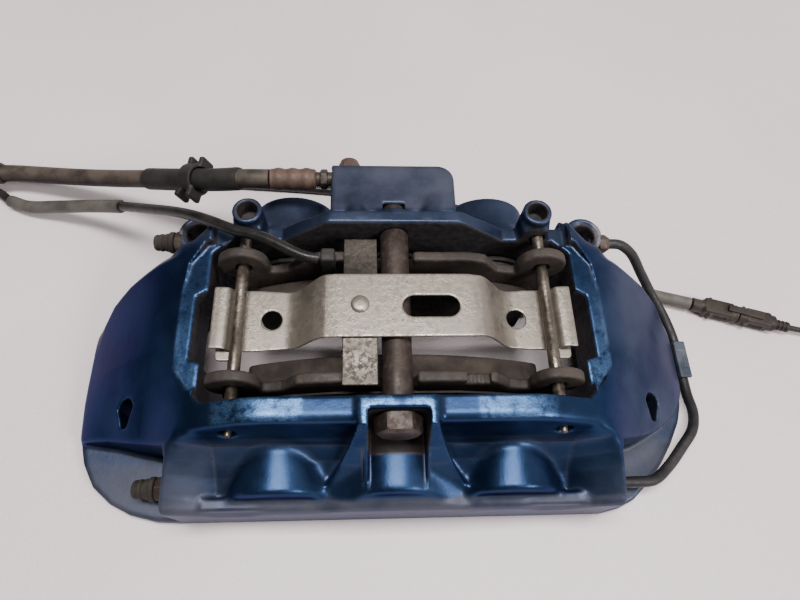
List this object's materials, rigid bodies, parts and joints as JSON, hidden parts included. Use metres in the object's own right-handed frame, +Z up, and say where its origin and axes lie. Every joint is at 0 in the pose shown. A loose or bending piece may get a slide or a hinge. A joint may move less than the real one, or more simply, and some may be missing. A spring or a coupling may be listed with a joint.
{
  "type": "brake caliper",
  "caption": "Fixed one-piece disc brake caliper with pads, cross spring, crossover pipe, bleed screws, brake hose and pad wear sensor lead.",
  "frame": {"origin": "middle of the footprint of the caliper with its cords left out, on the surface it lies on", "axes": "+X along the caliper, +Y towards the inboard side with the mounting lugs, +Z up, which is radially outward from the wheel axle"},
  "size_m": [0.6381, 0.2658, 0.084],
  "materials": {
    "blue_paint": "metallic blue paint on cast aluminium",
    "piston_aluminium": "machined",
    "seal_rubber": "matte",
    "plate_steel": "blackened and rusty",
    "friction": "rough",
    "pin_steel": "worn",
    "spring_steel": "worn, with rust specks",
    "bolt_steel": "rusty",
    "pipe_steel": "dark coated",
    "fitting_steel": "rusty",
    "hose_rubber": "worn",
    "lead_plastic": "satin",
    "sheath_plastic": "dusty",
    "cap_rubber": "dusty",
    "connector_plastic": "dusty"
  },
  "bodies": {
    "caliper": {"brake_hose": "hose_rubber", "caliper_body": "blue_paint", "connector_plug": "connector_plastic", "connector_socket": "connector_plastic", "connector_tail": "lead_plastic", "cross_spring": "spring_steel", "crossover_nut_inboard": "fitting_steel", "crossover_nut_outboard": "fitting_steel", "crossover_pipe": "pipe_steel", "hose_end_collar": "fitting_steel", "hose_end_fitting": "fitting_steel", "hose_ferrule": "fitting_steel", "hose_grommet": "seal_rubber", "hose_port_bolt": "fitting_steel", "hose_port_fitting": "fitting_steel", "hose_sleeve": "hose_rubber", "inboard_dust_boot_1": "seal_rubber", "inboard_dust_boot_2": "seal_rubber", "inboard_dust_boot_3": "seal_rubber", "inboard_seal_1": "seal_rubber", "inboard_seal_2": "seal_rubber", "inboard_seal_3": "seal_rubber", "lead_sheath_left": "sheath_plastic", "lead_sheath_right": "sheath_plastic", "left_pad_pin": "pin_steel", "outboard_dust_boot_1": "seal_rubber", "outboard_dust_boot_2": "seal_rubber", "outboard_dust_boot_3": "seal_rubber", "outboard_seal_1": "seal_rubber", "outboard_seal_2": "seal_rubber", "outboard_seal_3": "seal_rubber", "pipe_clip": "connector_plastic", "right_pad_pin": "pin_steel", "sensor_lead": "lead_plastic", "spacer_sleeve": "bolt_steel", "spring_rivet": "spring_steel", "spring_strap": "spring_steel", "tail_terminal": "connector_plastic", "tie_bolt": "bolt_steel"},
    "outboard_pad": {"outboard_backing_plate": "plate_steel", "outboard_friction_block": "friction", "outboard_shim": "plate_steel"},
    "inboard_pad": {"inboard_backing_plate": "plate_steel", "inboard_friction_block": "friction", "inboard_shim": "plate_steel", "wear_sensor": "lead_plastic"},
    "outboard_piston_1_body": {"outboard_piston_1": "piston_aluminium"},
    "outboard_piston_2_body": {"outboard_piston_2": "piston_aluminium"},
    "outboard_piston_3_body": {"outboard_piston_3": "piston_aluminium"},
    "inboard_piston_1_body": {"inboard_piston_1": "piston_aluminium"},
    "inboard_piston_2_body": {"inboard_piston_2": "piston_aluminium"},
    "inboard_piston_3_body": {"inboard_piston_3": "piston_aluminium"},
    "outboard_bleeder": {"outboard_bleed_screw": "fitting_steel"},
    "outboard_cap": {"outboard_bleed_cap": "cap_rubber"},
    "inboard_bleeder": {"inboard_bleed_screw": "fitting_steel"},
    "inboard_cap": {"inboard_bleed_cap": "cap_rubber"}
  },
  "joints": [
    {"name": "outboard_pad_slide", "type": "slide", "parent": "caliper", "child": "outboard_pad", "axis": [0, 1, 0], "range_m": [-0.003, 0.006]},
    {"name": "inboard_pad_slide", "type": "slide", "parent": "caliper", "child": "inboard_pad", "axis": [0, -1, 0], "range_m": [-0.003, 0.006]},
    {"name": "outboard_piston_1_slide", "type": "slide", "parent": "caliper", "child": "outboard_piston_1_body", "axis": [0, 1, 0], "range_m": [-0.003, 0.006]},
    {"name": "outboard_piston_2_slide", "type": "slide", "parent": "caliper", "child": "outboard_piston_2_body", "axis": [0, 1, 0], "range_m": [-0.003, 0.006]},
    {"name": "outboard_piston_3_slide", "type": "slide", "parent": "caliper", "child": "outboard_piston_3_body", "axis": [0, 1, 0], "range_m": [-0.003, 0.006]},
    {"name": "inboard_piston_1_slide", "type": "slide", "parent": "caliper", "child": "inboard_piston_1_body", "axis": [0, -1, 0], "range_m": [-0.003, 0.006]},
    {"name": "inboard_piston_2_slide", "type": "slide", "parent": "caliper", "child": "inboard_piston_2_body", "axis": [0, -1, 0], "range_m": [-0.003, 0.006]},
    {"name": "inboard_piston_3_slide", "type": "slide", "parent": "caliper", "child": "inboard_piston_3_body", "axis": [0, -1, 0], "range_m": [-0.003, 0.006]},
    {"name": "outboard_bleeder_turn", "type": "hinge", "parent": "caliper", "child": "outboard_bleeder", "pos_m": [-0.111, -0.0754, 0.018], "axis": [-1, 0, 0], "range_deg": [0, 180]},
    {"name": "outboard_cap_pull", "type": "slide", "parent": "outboard_bleeder", "child": "outboard_cap", "axis": [-1, 0, 0], "range_m": [0, 0.012]},
    {"name": "inboard_bleeder_turn", "type": "hinge", "parent": "caliper", "child": "inboard_bleeder", "pos_m": [-0.1177, 0.0531, 0.042], "axis": [-1, 0, 0], "range_deg": [0, 180]},
    {"name": "inboard_cap_pull", "type": "slide", "parent": "inboard_bleeder", "child": "inboard_cap", "axis": [-1, 0, 0], "range_m": [0, 0.012]}
  ],
  "couplings": [
    {"joint": "outboard_piston_1_slide", "follows": "outboard_pad_slide", "ratio": 1},
    {"joint": "outboard_piston_2_slide", "follows": "outboard_pad_slide", "ratio": 1},
    {"joint": "outboard_piston_3_slide", "follows": "outboard_pad_slide", "ratio": 1},
    {"joint": "inboard_piston_1_slide", "follows": "inboard_pad_slide", "ratio": 1},
    {"joint": "inboard_piston_2_slide", "follows": "inboard_pad_slide", "ratio": 1},
    {"joint": "inboard_piston_3_slide", "follows": "inboard_pad_slide", "ratio": 1}
  ]
}
